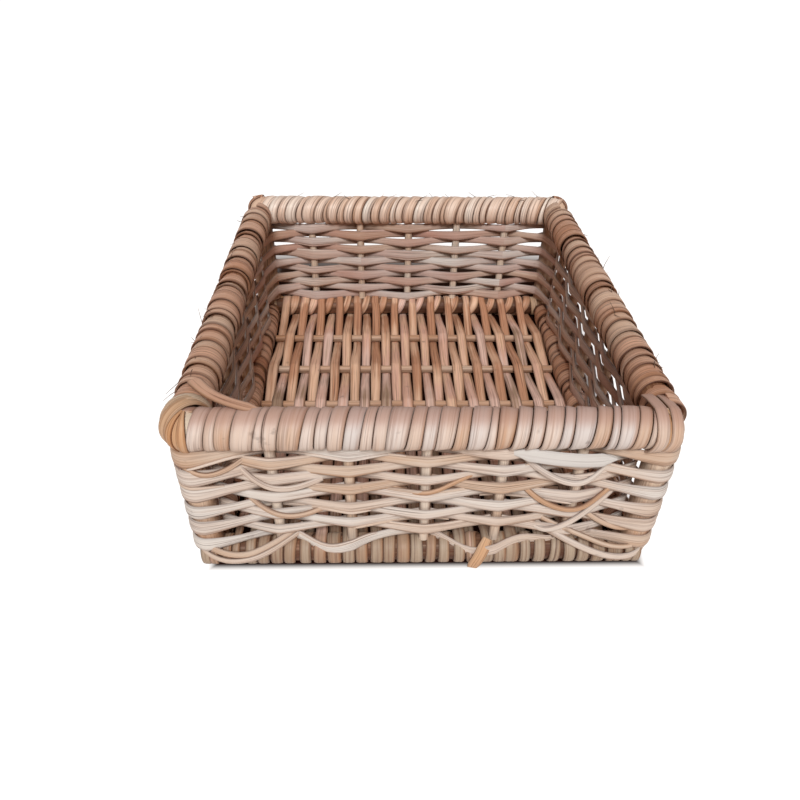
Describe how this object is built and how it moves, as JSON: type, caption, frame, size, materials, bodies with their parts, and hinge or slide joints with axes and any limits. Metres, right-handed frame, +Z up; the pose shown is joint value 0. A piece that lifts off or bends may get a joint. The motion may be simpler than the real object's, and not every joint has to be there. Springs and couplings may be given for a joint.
{
  "type": "rattan serving basket",
  "caption": "Open rectangular rattan tray with a woven floor, low woven walls on upright stakes, and a thick rim of rods bound with flat strips.",
  "frame": {"origin": "under the middle of the basket, on the surface that it stands on", "axes": "+Z up, -Y towards the short side shown in front in the picture, +X to the right"},
  "size_m": [0.262, 0.322, 0.1048],
  "materials": {
    "rim_strip": "flat rattan strip, satin",
    "side_strip": "flat rattan strip, satin",
    "weaver": "rattan core, matt",
    "stake": "rattan core, matt",
    "pole": "round rattan pole, matt",
    "base_strip": "flat rattan strip, matt",
    "floor_strip": "flat rattan strip, matt"
  },
  "bodies": {
    "root": {"rim_rod_front": "pole", "rim_binding_front": "rim_strip", "rim_rod_back": "pole", "rim_binding_back": "rim_strip", "rim_rod_left": "pole", "rim_binding_left": "side_strip", "rim_rod_right": "pole", "rim_binding_right": "side_strip", "base_rod_front": "pole", "base_rod_back": "pole", "base_rod_left": "pole", "base_rod_right": "pole", "base_binding_left": "base_strip", "base_end_binding_back_left": "base_strip", "base_binding_right": "base_strip", "base_end_binding_back_right": "base_strip", "floor_strand": "floor_strip", "floor_stick_1": "stake", "floor_stick_2": "stake", "floor_stick_3": "stake", "floor_stick_4": "stake", "floor_stick_5": "stake", "corner_post_front_left": "pole", "corner_post_front_right": "pole", "corner_post_back_right": "pole", "corner_post_back_left": "pole", "stake_front_1": "stake", "stake_front_2": "stake", "stake_front_3": "stake", "stake_front_4": "stake", "stake_front_5": "stake", "stake_right_1": "stake", "stake_right_2": "stake", "stake_right_3": "stake", "stake_right_4": "stake", "stake_right_5": "stake", "stake_back_1": "stake", "stake_back_2": "stake", "stake_back_3": "stake", "stake_back_4": "stake", "stake_back_5": "stake", "stake_left_1": "stake", "stake_left_2": "stake", "stake_left_3": "stake", "stake_left_4": "stake", "stake_left_5": "stake", "weaver_row_01": "weaver", "weaver_row_02": "weaver", "weaver_row_03": "weaver", "weaver_row_04": "weaver", "weaver_row_05": "weaver", "weaver_row_06": "weaver", "weaver_row_07": "weaver", "weaver_row_08": "weaver", "weaver_row_09": "weaver", "weaver_row_10": "weaver", "weaver_row_11": "weaver"}
  },
  "joints": []
}
